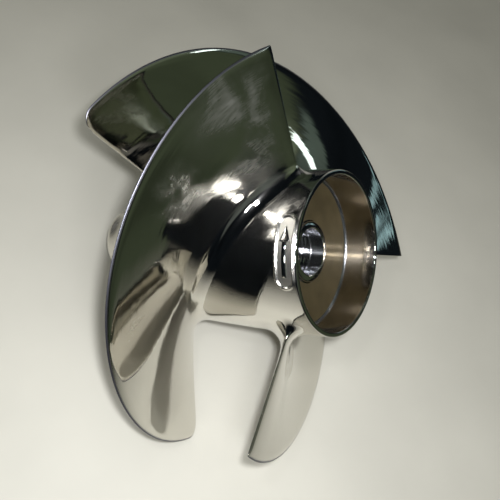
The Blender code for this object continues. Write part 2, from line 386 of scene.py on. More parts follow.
def resting_place(shape):
    """Matrix that lays a piece down from the shaft axis to where the frame lies."""
    turn = Matrix.Rotation(shape.rest_tilt, 4, "X") @ Matrix.Rotation(shape.rest_spin, 4, "Z")
    return Matrix.Translation(shape.rim_centre) @ turn


def add_piece(name, form, material, shape, replaces=False):
    """Mesh object on the root body, smooth shaded, its points laid down at rest."""
    points, faces = form
    mesh = bpy.data.meshes.new(name)
    place = np.array(resting_place(shape))
    laid = np.asarray(points) @ place[:3, :3].T + place[:3, 3]
    mesh.from_pydata([tuple(p) for p in laid], [], faces)
    bm = bmesh.new()
    bm.from_mesh(mesh)
    bmesh.ops.remove_doubles(bm, verts=bm.verts, dist=0.0000005)
    bmesh.ops.recalc_face_normals(bm, faces=bm.faces)
    bm.to_mesh(mesh)
    bm.free()
    mesh.polygons.foreach_set("use_smooth", [True] * len(mesh.polygons))
    piece = bpy.data.objects.new(name, mesh)
    bpy.context.scene.collection.objects.link(piece)
    mesh.materials.append(material)
    bpy.context.view_layer.update()
    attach(piece, "root")
    if replaces:
        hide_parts("impeller")
    return piece


def to_points(angles, stations, radii):
    return np.stack([radii * np.cos(angles), radii * np.sin(angles), stations], axis=1)


def ring_faces(rings, size):
    """Faces between closed rings of points laid out one after another."""
    faces = []
    for low in range(0, (rings - 1) * size, size):
        high = low + size
        for i in range(size):
            j = (i + 1) % size
            faces.append((low + i, low + j, high + j, high + i))
    return faces


def strip_faces(rows, columns, closed=False):
    """Faces between rows of points laid out one after another."""
    faces = []
    for i in range(rows if closed else rows - 1):
        j = (i + 1) % rows
        for k in range(columns - 1):
            faces.append((i * columns + k, j * columns + k,
                          j * columns + k + 1, i * columns + k + 1))
    return faces


def joined(forms):
    """Points and faces of several forms as one."""
    points, faces, start = [], [], 0
    for own_points, own_faces in forms:
        points.append(own_points)
        faces += [tuple(start + i for i in face) for face in own_faces]
        start += len(own_points)
    return np.concatenate(points), faces


# Blades


def full_radius(shape, turn):
    return shape.tip_rear + (shape.tip_front - shape.tip_rear) * turn


def tip_radius(shape, turn):
    """Outer radius, cut back in a round at the leading corner."""
    radius = full_radius(shape, turn)
    gap = np.clip(shape.corner - (1.0 - turn) * shape.wrap * radius, 0.0, shape.corner)
    return radius - (shape.corner - np.sqrt(shape.corner ** 2 - gap ** 2))


def depth_share(shape, turn, radius):
    """0 at a blade's tip and 1 at its root."""
    full = full_radius(shape, turn)
    return (full - radius) / (full - shape.root_radius)


def middle_line(shape, turn, radius):
    """(angle, distance from the rear rim) of a blade's middle surface."""
    depth = depth_share(shape, turn, radius)
    sweep, lean = (by_depth * depth + by_square * depth * depth
                   for by_depth, by_square in (ROOT_SWEEP, FRONT_LEAN))
    station = edge_station(turn) + (1.0 - turn) * REAR_LEAN * depth + turn * lean
    return -turn * (shape.wrap - sweep), station


def half_thickness(shape, turn, radius):
    body = (shape.tip_thickness
            + (shape.root_thickness - shape.tip_thickness) * depth_share(shape, turn, radius))
    inset = np.minimum(turn, 1.0 - turn) * shape.wrap * radius
    share = np.minimum(inset / shape.edge_taper, 1.0)
    share = share * (2.0 - share)
    rolled = 1.0 - np.minimum(inset / shape.tip_round, 1.0)
    round_off = EDGE_LEFT + (1.0 - EDGE_LEFT) * np.sqrt(1.0 - rolled ** 2)
    return 0.5 * (shape.edge_thickness + (body - shape.edge_thickness) * share) * round_off


def chord_turns(shape, steps=96, corner_steps=9, even=0.25):
    """Places along a blade from 0 at the trailing edge to 1, close together at the ends."""
    corner = shape.corner / (shape.wrap * shape.tip_front)
    t = np.linspace(0.0, 1.0, steps + 1)
    run = (1.0 - corner) * (even * t + (1.0 - even) * (0.5 - 0.5 * np.cos(np.pi * t)))
    a = 0.5 * np.pi * np.arange(1, corner_steps + 1) / corner_steps
    return np.concatenate([run, 1.0 - corner * (1.0 - np.sin(a))])


def blade_levels(fillet_steps=12, span_steps=40, tip_steps=9):
    """(kind, place) of each ring of a blade from its root up."""
    levels = [("fillet", 0.5 * math.pi * i / fillet_steps) for i in range(fillet_steps)]
    levels += [("span", i / span_steps) for i in range(span_steps)]
    levels += [("tip", 0.5 * math.pi * i / tip_steps) for i in range(tip_steps + 1)]
    return levels


def blade_ring(shape, kind, place, turns, round_steps=24, step=0.002):
    """(angle, station, radius) round the blade at one level, as three arrays."""
    fillet = shape.fillet
    crown = shape.tip_round

    def level_radius(turn, station):
        base = hub_radius(station)
        if kind == "fillet":
            return base + fillet * (1.0 - math.cos(place))
        top = tip_radius(shape, turn)
        if kind == "span":
            return base + fillet + (top - crown - base - fillet) * place
        return top - crown * (1.0 - math.sin(place))

    def all_round(values):
        """Values along the blade, carried round its leading end, back, and round the trailing end."""
        first, last = (np.full(round_steps, values[end]) for end in (0, -1))
        return np.concatenate([values, last, values[::-1], first])

    station = middle_line(shape, turns, shape.root_radius)[1]
    for _ in range(2):
        radius = level_radius(turns, station)
        angle, station = middle_line(shape, turns, radius)
    low = middle_line(shape, np.clip(turns - step, 0.0, 1.0), radius)
    high = middle_line(shape, np.clip(turns + step, 0.0, 1.0), radius)
    along = np.stack([radius * (high[0] - low[0]), high[1] - low[1]], axis=1)
    along /= np.linalg.norm(along, axis=1)[:, None]
    across = np.stack([-along[:, 1], along[:, 0]], axis=1)
    spot = np.stack([radius * angle, station], axis=1)
    half = half_thickness(shape, turns, radius)
    if kind == "fillet":
        half = half + fillet * (1.0 - math.sin(place))
    if kind == "tip":
        half = half * math.cos(place)
    side_a = spot + across * half[:, None]
    side_b = spot - across * half[:, None]
    rounds = []
    for end, sign in ((-1, 1.0), (0, -1.0)):
        a = np.pi * (0.5 - np.arange(1, round_steps + 1) / (round_steps + 1))
        rounds.append(spot[end] + sign * half[end] * np.outer(np.cos(a), along[end])
                      + half[end] * np.outer(np.sin(a), across[end]))
    leading, trailing = rounds
    flat = np.concatenate([side_a, leading, side_b[::-1], trailing[::-1]])
    stations = flat[:, 1]
    return flat[:, 0] / all_round(radius), stations, level_radius(all_round(turns), stations)


def blade_form(shape):
    """Points and faces of one blade with its fillet, and its root ring on the hub."""
    turns = chord_turns(shape)
    rings = [blade_ring(shape, kind, place, turns) for kind, place in blade_levels()]
    points = np.concatenate([to_points(*ring) for ring in rings])
    return (points, ring_faces(len(rings), len(rings[0][0]))), rings[0][:2]


# Hub


def inside(points, outline):
    """True for each point inside a closed outline."""
    x, y = points[:, 0], points[:, 1]
    result = np.zeros(len(points), dtype=bool)
    for (x0, y0), (x1, y1) in zip(outline, np.roll(outline, -1, axis=0)):
        crosses = (y0 > y) != (y1 > y)
        if crosses.any():
            at = x0 + (y - y0) * (x1 - x0) / (y1 - y0 if y1 != y0 else 1.0)
            result ^= crosses & (x < at)
    return result


def unrolled(angles, stations):
    """Points of the hub's skin laid flat."""
    return np.stack([angles * SKIN_RADIUS, np.broadcast_to(stations, np.shape(angles))], axis=1)


def skin_outline():
    """Edge of a third of the hub's skin, laid flat, and the stations and angles of its seam."""
    first, last = HUB_LINE[0][0], HUB_LINE[-1][0]
    step = math.tau / SEGMENTS
    rows = np.linspace(first, last, 121)
    seam = np.interp(rows, [station for station, _ in HUB_SEAM], [turn * step for _, turn in HUB_SEAM])
    left = seam - SEAM_SHIFT * step
    across = step * np.arange(1, SEGMENTS // BLADES)
    outline = np.concatenate([
        unrolled(left, rows),
        unrolled(left[-1] + across, last),
        unrolled(left + math.tau / BLADES, rows)[::-1],
        unrolled(left[0] + across, first)[::-1],
    ])
    return outline, rows, left


def skin_grid(outline, hole, rows, left, spacing=0.0009, row_share=0.866, clearance=0.62):
    """Even points between the outline and the hole, clear of both, in rows set half a step apart."""
    first, last = rows[0], rows[-1]
    places = spacing * np.arange(int(math.tau / BLADES * SKIN_RADIUS / spacing))
    grid = []
    count = int((last - first) / (spacing * row_share))
    for k in range(1, count):
        y = first + (last - first) * k / count
        start = np.interp(y, rows, left) * SKIN_RADIUS + spacing * (0.5 + 0.5 * (k % 2))
        grid.append(np.stack([start + places, np.full(len(places), y)], axis=1))
    grid = np.concatenate(grid)
    grid = grid[inside(grid, outline) & ~inside(grid, hole)]
    edge = np.concatenate([outline, hole])
    near = np.array([np.min(np.sum((edge - p) ** 2, axis=1)) for p in grid])
    return grid[near > (clearance * spacing) ** 2]


def hub_form(root, enlarged=1000.0, tolerance=0.00001):
    """Points and faces of a third of the hub's skin, with a hole where its blade stands."""
    outline, rows, left = skin_outline()
    hole = unrolled(*root)
    flat = np.concatenate([outline, hole, skin_grid(outline, hole, rows, left)])
    n, m = len(outline), len(hole)
    rims = [(i, (i + 1) % n) for i in range(n)] + [(n + i, n + (i + 1) % m) for i in range(m)]
    corners, _, triangles, sources, _, _ = delaunay_2d_cdt(
        [Vector(p) * enlarged for p in flat], rims, [], 0, tolerance)
    spots = np.array([[v.x, v.y] for v in corners]) / enlarged
    for i, source in enumerate(sources):
        if source:
            spots[i] = flat[source[0]]
    triangles = np.array(triangles)
    middle = spots[triangles].mean(axis=1)
    triangles = triangles[inside(middle, outline) & ~inside(middle, hole)]
    points = to_points(spots[:, 0] / SKIN_RADIUS, spots[:, 1], hub_radius(spots[:, 1]))
    return points, [tuple(t) for t in triangles]


def turned(points, angle):
    c, s = math.cos(angle), math.sin(angle)
    return points @ np.array([[c, s, 0.0], [-s, c, 0.0], [0.0, 0.0, 1.0]])


# Turned shapes


def spun(outline, offset=None):
    """Points and faces of an outline turned about the shaft; offset adds to the radius."""
    angles = np.arange(SEGMENTS) * math.tau / SEGMENTS
    rings = []
    for radius, station in outline:
        radii = np.full(SEGMENTS, radius)
        if offset is not None:
            radii = radii + offset(angles, station)
        rings.append(to_points(angles, np.full(SEGMENTS, station), radii))
    return np.concatenate(rings), ring_faces(len(rings), SEGMENTS)


def arc(centre_radius, centre_station, size, start, end, steps=6):
    """(radius, station) points on an arc; angles in degrees from outward towards the nose."""
    turns = np.radians(np.linspace(start, end, steps + 1))
    return [(centre_radius + size * math.cos(a), centre_station + size * math.sin(a)) for a in turns]


def run(start, end, step):
    """(radius, station) points along a straight line, about a step apart."""
    a, b = np.array(start), np.array(end)
    count = max(1, int(round(float(np.linalg.norm(b - a)) / step)))
    return [tuple(a + (b - a) * i / count) for i in range(count + 1)]


# Oblong frame


def on_hub(shape, around, along, height):
    """Point at a place in the oblong frame: round the hub, towards the nose, above the skin."""
    station = shape.plate_station + along
    radius = float(hub_radius(station))
    angle = shape.plate_angle + around / radius
    high = radius + height
    return (high * math.cos(angle), high * math.sin(angle), station)


def oblong(length, width, steps=20, sides=36):
    """Middle line of an oblong with round ends, as (around, along, outward direction)."""
    straight, end = 0.5 * (length - width), 0.5 * width
    line = []
    for side in (1.0, -1.0):
        for i in range(steps + 1):
            a = math.pi * (i / steps - 0.5)
            line.append((side * (straight + end * math.cos(a)), side * end * math.sin(a),
                         side * math.cos(a), side * math.sin(a)))
        for i in range(1, sides):
            line.append((side * straight * (1.0 - 2.0 * i / sides), side * end, 0.0, side))
    return line


# Materials


def add_node(tree, kind, settings=(), sockets=()):
    node = tree.nodes.new(kind)
    for name, value in settings:
        setattr(node, name, value)
    for name, value in sockets:
        node.inputs[name].default_value = value
    return node


def feed(tree, socket, value):
    """Links a socket to another node's output, or sets it where the value is a plain one."""
    if isinstance(value, bpy.types.NodeSocket):
        tree.links.new(value, socket)
    else:
        socket.default_value = value


def maths(tree, operation, *values):
    """Socket with the result of a sum on sockets and numbers."""
    node = add_node(tree, "ShaderNodeMath", (("operation", operation),))
    for socket, value in zip(node.inputs, values):
        feed(tree, socket, value)
    return node.outputs["Value"]


def vector_maths(tree, operation, *values):
    """Outputs of a sum on vectors."""
    node = add_node(tree, "ShaderNodeVectorMath", (("operation", operation),))
    for socket, value in zip(node.inputs, values):
        feed(tree, socket, value)
    return node.outputs


def scaled(tree, vector, factor):
    node = add_node(tree, "ShaderNodeVectorMath", (("operation", "SCALE"),))
    feed(tree, node.inputs[0], vector)
    feed(tree, node.inputs["Scale"], factor)
    return node.outputs["Vector"]


def remap(tree, value, low, high, to_low=0.0, to_high=1.0, kind="SMOOTHSTEP"):
    """Socket with a value carried from one range to another, and held inside it."""
    node = add_node(tree, "ShaderNodeMapRange", (("interpolation_type", kind),), (
        ("From Min", low), ("From Max", high), ("To Min", to_low), ("To Max", to_high)))
    feed(tree, node.inputs["Value"], value)
    return node.outputs["Result"]


def split(tree, vector):
    node = add_node(tree, "ShaderNodeSeparateXYZ")
    feed(tree, node.inputs["Vector"], vector)
    return node.outputs


def join(tree, *values):
    node = add_node(tree, "ShaderNodeCombineXYZ")
    for socket, value in zip(node.inputs, values):
        feed(tree, socket, value)
    return node.outputs["Vector"]


def noise(tree, place, scale, detail, others=()):
    node = add_node(tree, "ShaderNodeTexNoise", (), (("Scale", scale), ("Detail", detail), *others))
    feed(tree, node.inputs["Vector"], place)
    return node.outputs["Fac"]


def bump(tree, height, distance, strength=1.0, over=None):
    """Socket with the surface tilted by a height, on top of another bump where there is one."""
    node = add_node(tree, "ShaderNodeBump", (), (("Strength", strength), ("Distance", distance)))
    feed(tree, node.inputs["Height"], height)
    if over is not None:
        feed(tree, node.inputs["Normal"], over)
    return node.outputs["Normal"]


def blend(tree, share, first, second):
    """Socket with two colours mixed."""
    node = add_node(tree, "ShaderNodeMix", (("data_type", "RGBA"),))
    for index, value in ((0, share), (6, first), (7, second)):
        feed(tree, node.inputs[index], value)
    return node.outputs[2]


def shaded(tree, value, colour, *steps):
    """Socket with a colour that grows lighter with a value; steps are (value, factor)."""
    ramp = add_node(tree, "ShaderNodeValToRGB")
    for element, (place, factor) in zip(ramp.color_ramp.elements, steps):
        element.position = place
        element.color = solid([min(c * factor, 1.0) for c in colour])
    feed(tree, ramp.inputs["Fac"], value)
    return ramp.outputs["Color"]


def solid(colour):
    return (*colour, 1.0)


def show_mixed(tree, share, first, second):
    """Sends two shaders, mixed, to the material's surface."""
    mix = add_node(tree, "ShaderNodeMixShader")
    for socket, value in zip(mix.inputs, (share, first, second)):
        feed(tree, socket, value)
    feed(tree, tree.nodes["Material Output"].inputs["Surface"], mix.outputs["Shader"])


def on_shaft(tree, output, shape, moved=True):
    """Texture coordinate turned back from the rest pose to the shaft axis; directions aren't moved."""
    rest = resting_place(shape)
    place = add_node(tree, "ShaderNodeTexCoord")
    upright = add_node(tree, "ShaderNodeMapping", (("vector_type", "TEXTURE"),), (
        ("Rotation", rest.to_euler("XYZ")),))
    if moved:
        upright.inputs["Location"].default_value = rest.to_translation()
    feed(tree, upright.inputs["Vector"], place.outputs[output])
    return upright.outputs["Vector"]


def new_steel(name, colour, shape, roughness):
    """Metal material with its tree, shader and coordinates on the shaft axis."""
    material = bpy.data.materials.new(name)
    material.use_nodes = True
    tree = material.node_tree
    shader = tree.nodes["Principled BSDF"]
    shader.inputs["Base Color"].default_value = solid(colour)
    shader.inputs["Metallic"].default_value = 1.0
    shader.inputs["Roughness"].default_value = roughness
    return material, tree, shader, on_shaft(tree, "Object", shape)


def round_shaft(tree, shader, shape):
    """Stretches the shader's highlights across the lathe's cuts, which run round the shaft."""
    rest = resting_place(shape)
    place = add_node(tree, "ShaderNodeTexCoord")
    away = vector_maths(tree, "SUBTRACT", place.outputs["Object"], rest.to_translation())
    shaft = rest.to_3x3() @ Vector((0.0, 0.0, 1.0))
    across = vector_maths(tree, "CROSS_PRODUCT", shaft, away["Vector"])
    feed(tree, shader.inputs["Tangent"], across["Vector"])
    shader.inputs["Anisotropic Rotation"].default_value = 0.25


def shaft_places(tree, place):
    """Sockets for the radius, the angle, the distance along the blades' lead, and the station."""
    x, y, station = split(tree, place)
    flat = vector_maths(tree, "MULTIPLY", place, (1.0, 1.0, 0.0))
    radius = vector_maths(tree, "LENGTH", flat["Vector"])["Value"]
    angle = maths(tree, "ARCTAN2", y, x)
    lead = maths(tree, "MULTIPLY_ADD", angle, BLADE_LEAD, station)
    return radius, angle, lead, station


def drawn_noise(tree, places, stretch, scale, detail):
    """Noise drawn out along the blades; stretch is the noise's cells in a radian."""
    radius, angle, lead, _ = places
    slow = maths(tree, "MULTIPLY", angle, stretch / scale)
    return noise(tree, join(tree, radius, lead, slow), scale, detail)


def wiped_roughness(tree, place, places, finish):
    """Socket with the polish, dulled in scratched marks where a cloth has wiped the steel."""
    marks = None
    for spot, reach in WIPE_MARKS:
        away = vector_maths(tree, "DISTANCE", place, spot)["Value"]
        near = remap(tree, away, low=reach, high=WIPE_CORE * reach)
        marks = near if marks is None else maths(tree, "MAXIMUM", marks, near)
    smoke = noise(tree, place, scale=42.0, detail=4.0, others=(("Roughness", 0.55), ("Distortion", 0.8)))
    wisps = maths(tree, "MULTIPLY", marks, remap(tree, smoke, low=0.32, high=0.72))
    fine = drawn_noise(tree, places, stretch=14.0, scale=5000.0, detail=2.0)
    scratches = remap(tree, fine, low=0.40, high=0.60, to_low=0.72, kind="LINEAR")
    streaked = maths(tree, "MULTIPLY", wisps, scratches)
    return remap(tree, streaked, 0.0, 1.0, to_low=finish.polish, to_high=finish.wiped, kind="LINEAR")


def satin_roughness(tree, places, finish, shape):
    """Socket with the duller finish of the blades' nose sides and outer edges."""
    radius, angle, _, _ = places
    x, y, z = split(tree, on_shaft(tree, "Normal", shape, moved=False))
    nose_side = remap(tree, z, low=0.25, high=0.5, to_high=finish.satin)
    outward = maths(tree, "ADD",
                    maths(tree, "MULTIPLY", maths(tree, "COSINE", angle), x),
                    maths(tree, "MULTIPLY", maths(tree, "SINE", angle), y))
    edge = remap(tree, outward, low=0.12, high=0.36, to_high=finish.edge_satin)
    rougher = maths(tree, "MAXIMUM", nose_side, edge)
    beyond_hub = remap(tree, radius, low=0.050, high=0.060, kind="LINEAR")
    return maths(tree, "MULTIPLY", rougher, beyond_hub)


def polished_steel(finish, shape):
    """Mirror polish with wipe marks, hairlines and waves that follow the blades."""
    material, tree, shader, place = new_steel("polished_steel", finish.steel, shape, finish.polish)
    shader.inputs["Coat Weight"].default_value = finish.haze
    shader.inputs["Coat Roughness"].default_value = 0.22
    places = shaft_places(tree, place)
    satin = satin_roughness(tree, places, finish, shape)
    duller = maths(tree, "MAXIMUM", wiped_roughness(tree, place, places, finish), satin)
    feed(tree, shader.inputs["Roughness"], duller)
    # The outer edges take the dark lilac edge colour: painted shade that dims and tints their highlight
    # over the real rougher finish
    edge = remap(tree, satin, low=finish.satin, high=finish.edge_satin, kind="LINEAR")
    tone = blend(tree, edge, solid(finish.steel), solid(finish.edge))
    feed(tree, shader.inputs["Base Color"], tone)
    fine = drawn_noise(tree, places, stretch=6.0, scale=2500.0, detail=2.0)
    hairlines = bump(tree, fine, distance=0.000006)
    coarse = drawn_noise(tree, places, stretch=3.0, scale=450.0, detail=2.0)
    drags = bump(tree, coarse, distance=0.00003, over=hairlines)
    waves = bump(tree, noise(tree, place, scale=55.0, detail=1.0), distance=0.00010, over=drags)
    feed(tree, shader.inputs["Normal"], waves)
    return material


def machined_steel(finish, shape):
    """Bright machined steel of the thread and the splines, worn a little dull in places."""
    material, tree, shader, place = new_steel("machined_steel", finish.bored, shape, roughness=0.08)
    wear = noise(tree, place, scale=260.0, detail=4.0)
    dulled = remap(tree, wear, low=0.35, high=0.75, to_low=0.04, to_high=0.14, kind="LINEAR")
    feed(tree, shader.inputs["Roughness"], dulled)
    return material


def cast_steel(finish, shape, roughness):
    """Satin cast skin of the oblong frame and its field."""
    material, tree, shader, place = new_steel("cast_steel", finish.steel, shape, roughness)
    grain = bump(tree, noise(tree, place, scale=2600.0, detail=3.0), distance=0.00006, strength=0.6)
    feed(tree, shader.inputs["Normal"], grain)
    return material


def turned_steel(name, colour, shape, roughness, brushed):
    """Stained lathe-turned steel: a mirror under cuts round the shaft, which draw lights into lines."""
    material, tree, shader, place = new_steel(name, colour, shape, roughness)
    drawn = add_node(tree, "ShaderNodeBsdfPrincipled", (), (
        ("Metallic", 1.0), ("Roughness", 0.20), ("Anisotropic", 1.0)))
    round_shaft(tree, drawn, shape)
    show_mixed(tree, brushed, shader.outputs["BSDF"], drawn.outputs["BSDF"])
    radius, _, _, station = shaft_places(tree, place)
    rings = join(tree, radius, station)
    cuts = bump(tree, noise(tree, rings, scale=4200.0, detail=2.0), distance=0.00001, strength=0.35)
    deep_cuts = bump(tree, noise(tree, rings, scale=9000.0, detail=1.0), distance=0.00004)
    spots = noise(tree, place, scale=120.0, detail=5.0)
    stain = shaded(tree, spots, colour, (0.35, 0.80), (0.70, 1.10))
    for skin, tilt in ((shader, cuts), (drawn, deep_cuts)):
        feed(tree, skin.inputs["Normal"], tilt)
        feed(tree, skin.inputs["Base Color"], stain)
    return material


def dark_floor_steel(finish, shape):
    """Turned floor of the recess in a dark dull brown, with little of a metal's shine."""
    material = turned_steel("dark_floor", finish.turned_floor, shape, roughness=0.50, brushed=0.22)
    shader = material.node_tree.nodes["Principled BSDF"]
    shader.inputs["Metallic"].default_value = 0.2
    shader.inputs["Specular IOR Level"].default_value = 0.2
    return material


def painted_floor_falloff(tree, place):
    """Socket with the share of the floor that mirrored rays miss, from none near the part to all:
    painted shade for the light falling off across the far floor.
    """
    x, y, _ = split(tree, place)
    behind = maths(tree, "MULTIPLY", y, FLOOR_BEHIND)
    ahead = maths(tree, "MAXIMUM", maths(tree, "MULTIPLY", y, -1.0), behind)
    away = vector_maths(tree, "LENGTH", join(tree, x, ahead))["Value"]
    dim = add_node(tree, "ShaderNodeValToRGB")
    while len(dim.color_ramp.elements) < len(MIRRORED_FLOOR):
        dim.color_ramp.elements.new(0.5)
    for step, (distance, strength) in zip(dim.color_ramp.elements, MIRRORED_FLOOR):
        step.position = distance
        step.color = (strength, strength, strength, 1.0)
    feed(tree, dim.inputs["Fac"], remap(tree, away, 0.0, FLOOR_REACH, kind="LINEAR"))
    # Painted shade: mirrored rays pass through the far floor to the dim room, as if the floor there were
    # unlit
    ray = add_node(tree, "ShaderNodeLightPath")
    hidden = maths(tree, "SUBTRACT", 1.0, dim.outputs["Color"])
    return maths(tree, "MULTIPLY", hidden, ray.outputs["Is Glossy Ray"])


def floor_material(studio):
    """Pale floor with a faint mottle; the steel mirrors only the part that lies near it, and fades the
    rest out as painted shade.
    """
    material = bpy.data.materials.new("pale_floor")
    material.use_nodes = True
    tree = material.node_tree
    shader = tree.nodes["Principled BSDF"]
    shader.inputs["Roughness"].default_value = 0.6
    place = add_node(tree, "ShaderNodeTexCoord").outputs["Object"]
    mottle = noise(tree, place, scale=14.0, detail=5.0)
    tone = shaded(tree, mottle, studio.floor, (0.30, 0.93), (0.75, 1.05))
    feed(tree, shader.inputs["Base Color"], tone)
    clear = add_node(tree, "ShaderNodeBsdfTransparent")
    show_mixed(tree, painted_floor_falloff(tree, place), shader.outputs["BSDF"], clear.outputs["BSDF"])
    return material


def band(tree, value, span, soft):
    """Socket that is 1 between two values and falls softly to 0 outside them."""
    low, high = span
    rise = remap(tree, value, low - soft, low + soft)
    drop = remap(tree, value, high - soft, high + soft, 1.0, 0.0)
    return maths(tree, "MULTIPLY", rise, drop)


def mirrored_sky(tree, studio, direction, ray):
    """Socket with the dim room and the patches of sky painted over it."""
    x, y, height = split(tree, direction)
    azimuth = maths(tree, "ARCTAN2", x, maths(tree, "MULTIPLY", y, -1.0))
    mirrored_twice = maths(tree, "GREATER_THAN", ray.outputs["Glossy Depth"], 1.5)
    sky = solid(studio.room)
    for name, azimuths, heights, soft_sides, soft_ends in SKY:
        sides = band(tree, azimuth, [math.radians(a) for a in azimuths], math.radians(soft_sides))
        share = maths(tree, "MULTIPLY", sides, band(tree, height, heights, soft_ends))
        colour = solid(getattr(studio, name))
        if name == "mirrored_wall":
            share = maths(tree, "MULTIPLY", share, mirrored_twice)
        if name == "window":
            panes = noise(tree, direction, scale=13.0, detail=2.0)
            brightness = remap(tree, panes, low=0.44, high=0.56, to_low=0.06, to_high=2.2, kind="LINEAR")
            colour = scaled(tree, studio.window, brightness)
        sky = blend(tree, share, sky, colour)
    return sky


def room_world(studio):
    """World with the sky that the steel mirrors, a backdrop for the camera and even daylight."""
    world = bpy.data.worlds.new("dim_room")
    world.use_nodes = True
    tree = world.node_tree
    direction = add_node(tree, "ShaderNodeTexCoord").outputs["Generated"]
    ray = add_node(tree, "ShaderNodeLightPath")
    sky = mirrored_sky(tree, studio, direction, ray)
    cloud = noise(tree, direction, scale=3.2, detail=4.0)
    shade = remap(tree, cloud, low=0.30, high=0.70, to_low=0.62, to_high=1.38, kind="LINEAR")
    clouded = scaled(tree, sky, shade)
    seen = blend(tree, ray.outputs["Is Camera Ray"], clouded, solid(studio.backdrop))
    lit = blend(tree, ray.outputs["Is Diffuse Ray"], seen, solid(studio.daylight))
    feed(tree, tree.nodes["Background"].inputs["Color"], lit)
    return world


# Operators


class IMPELLER_OT_casting(bpy.types.Operator):
    """Make the polished outside of the casting: hub, root fillets, blades, rim and nose"""
    bl_idname = "impeller.casting"
    bl_label = "Casting"

    def execute(self, context):
        shape = context.scene.impeller_shape
        blade, root = blade_form(shape)
        skin = hub_form(root)
        forms = []
        for k in range(BLADES):
            for points, faces in (blade, skin):
                forms.append((turned(points, k * math.tau / BLADES), faces))
        rim_station, rim_radius = HUB_LINE[0]
        rim = [(rim_radius, rim_station)]
        rim += arc(rim_radius - RIM_OUTER, RIM_OUTER, RIM_OUTER, -15.0, -90.0)
        rim += arc(shape.recess_radius + RIM_INNER, RIM_INNER, RIM_INNER, -90.0, -180.0)
        rim.append((shape.recess_radius, WALL_START))
        nose_radius = HUB_LINE[-1][1] - NOSE_ROUND
        nose = arc(nose_radius, shape.hub_length - NOSE_ROUND, NOSE_ROUND, 0.0, 90.0, steps=12)
        nose.append((shape.spline_radius + shape.spline_depth, shape.hub_length))
        form = joined(forms + [spun(rim), spun(nose)])
        material = polished_steel(context.scene.steel_finish, shape)
        add_piece("casting", form, material, shape, replaces=True)
        return {"FINISHED"}


class IMPELLER_OT_recess(bpy.types.Operator):
    """Make the turned wall and floor of the open rear end"""
    bl_idname = "impeller.recess"
    bl_label = "Rear recess"

    def execute(self, context):
        shape = context.scene.impeller_shape
        finish = context.scene.steel_finish
        depth, radius, corner = shape.recess_depth, shape.recess_radius, shape.recess_corner
        wall = run((radius, WALL_START), (radius, depth - corner), step=0.0006)
        steel = turned_steel("turned_wall", finish.turned, shape, roughness=0.11, brushed=0.26)
        add_piece("recess_wall", spun(wall), steel, shape)
        inner = shape.collar_radius + 0.5 * shape.collar_height
        floor = run((radius - corner, depth), (inner, depth), step=0.0012)
        add_piece("recess_floor", spun(floor), dark_floor_steel(finish, shape), shape)
        fillet = arc(radius - corner, depth - corner, corner, 0.0, 90.0)
        steel = turned_steel("turned_corner", finish.bored, shape, roughness=0.25, brushed=0.5)
        add_piece("recess_corner", spun(fillet), steel, shape)
        return {"FINISHED"}


class IMPELLER_OT_thread(bpy.types.Operator):
    """Make the collar in the recess and the thread inside it"""
    bl_idname = "impeller.thread"
    bl_label = "Collar and thread"

    def execute(self, context):
        shape = context.scene.impeller_shape
        finish = context.scene.steel_finish
        top = shape.recess_depth - shape.collar_height
        countersink, chamfer = shape.thread_radius + 0.0003, 0.0002
        shoulder, shoulder_drop, lip, lip_width = 0.0007, 0.0008, 0.0005, 0.0006
        collar = [(shape.collar_radius + out, shape.recess_depth - high) for out, high in COLLAR_FOOT]
        collar += arc(shape.collar_radius - shoulder, top + shoulder_drop, shoulder, 0.0, -70.0)
        collar += arc(countersink + lip_width, top + lip, lip, -90.0, -150.0)
        add_piece("thread_collar", spun(collar), polished_steel(finish, shape), shape)
        steel = turned_steel("bored_steel", finish.bored, shape, roughness=0.24, brushed=0.65)
        mouth = run(collar[-1], (countersink, shape.thread_start - chamfer), step=0.0006)
        mouth.append((shape.thread_radius, shape.thread_start))
        add_piece("bore_mouth", spun(mouth), steel, shape)
        bore = run((shape.thread_radius, shape.thread_start),
                   (shape.thread_radius, shape.thread_end), step=shape.thread_pitch / 8.0)
        thread = spun(bore, lambda angles, station: self.groove(shape, angles, station))
        add_piece("shaft_thread", thread, machined_steel(finish, shape), shape)
        return {"FINISHED"}

    def groove(self, shape, angles, station, flat=1.15, flank=2.5, run_out=0.0010):
        """Depth of the thread's helix, which runs out before the end of the thread."""
        turn = (station / shape.thread_pitch - angles / math.tau) % 1.0
        cut = np.clip(flat - flank * np.abs(turn - 0.5), 0.0, 1.0)
        fading = min(1.0, max(0.0, (shape.thread_end - station) / run_out))
        return shape.thread_depth * cut * fading


class IMPELLER_OT_splines(bpy.types.Operator):
    """Make the plain bore behind the thread and the grooves inside the nose"""
    bl_idname = "impeller.splines"
    bl_label = "Nose bore"

    def execute(self, context):
        shape = context.scene.impeller_shape
        radius, chamfer, widening, relief = shape.spline_radius, shape.spline_depth, 0.0020, 0.0001
        outline = [(shape.thread_radius, shape.thread_end)]
        plain_end, spline_end = (radius, shape.spline_start), (radius, shape.hub_length - chamfer)
        outline += run((radius, shape.thread_end + widening), plain_end, step=0.0060)
        outline += run((radius, shape.spline_start + relief), spline_end, step=0.0020)
        bore = spun(outline, lambda angles, station: self.groove(shape, angles, station))[0]
        mouth = spun([(radius + chamfer, shape.hub_length)])[0]
        form = np.concatenate([bore, mouth]), ring_faces(len(outline) + 1, SEGMENTS)
        add_piece("spline_bore", form, machined_steel(context.scene.steel_finish, shape), shape)
        return {"FINISHED"}

    def groove(self, shape, angles, station, middle=0.5, flank=1.4, run_in=0.0020):
        """Depth of the splines' grooves, which deepen from where they begin."""
        depth = min(1.0, max(0.0, (station - shape.spline_start) / run_in))
        cut = np.clip(middle + flank * np.cos(shape.splines * angles), 0.0, 1.0)
        return shape.spline_depth * depth * cut


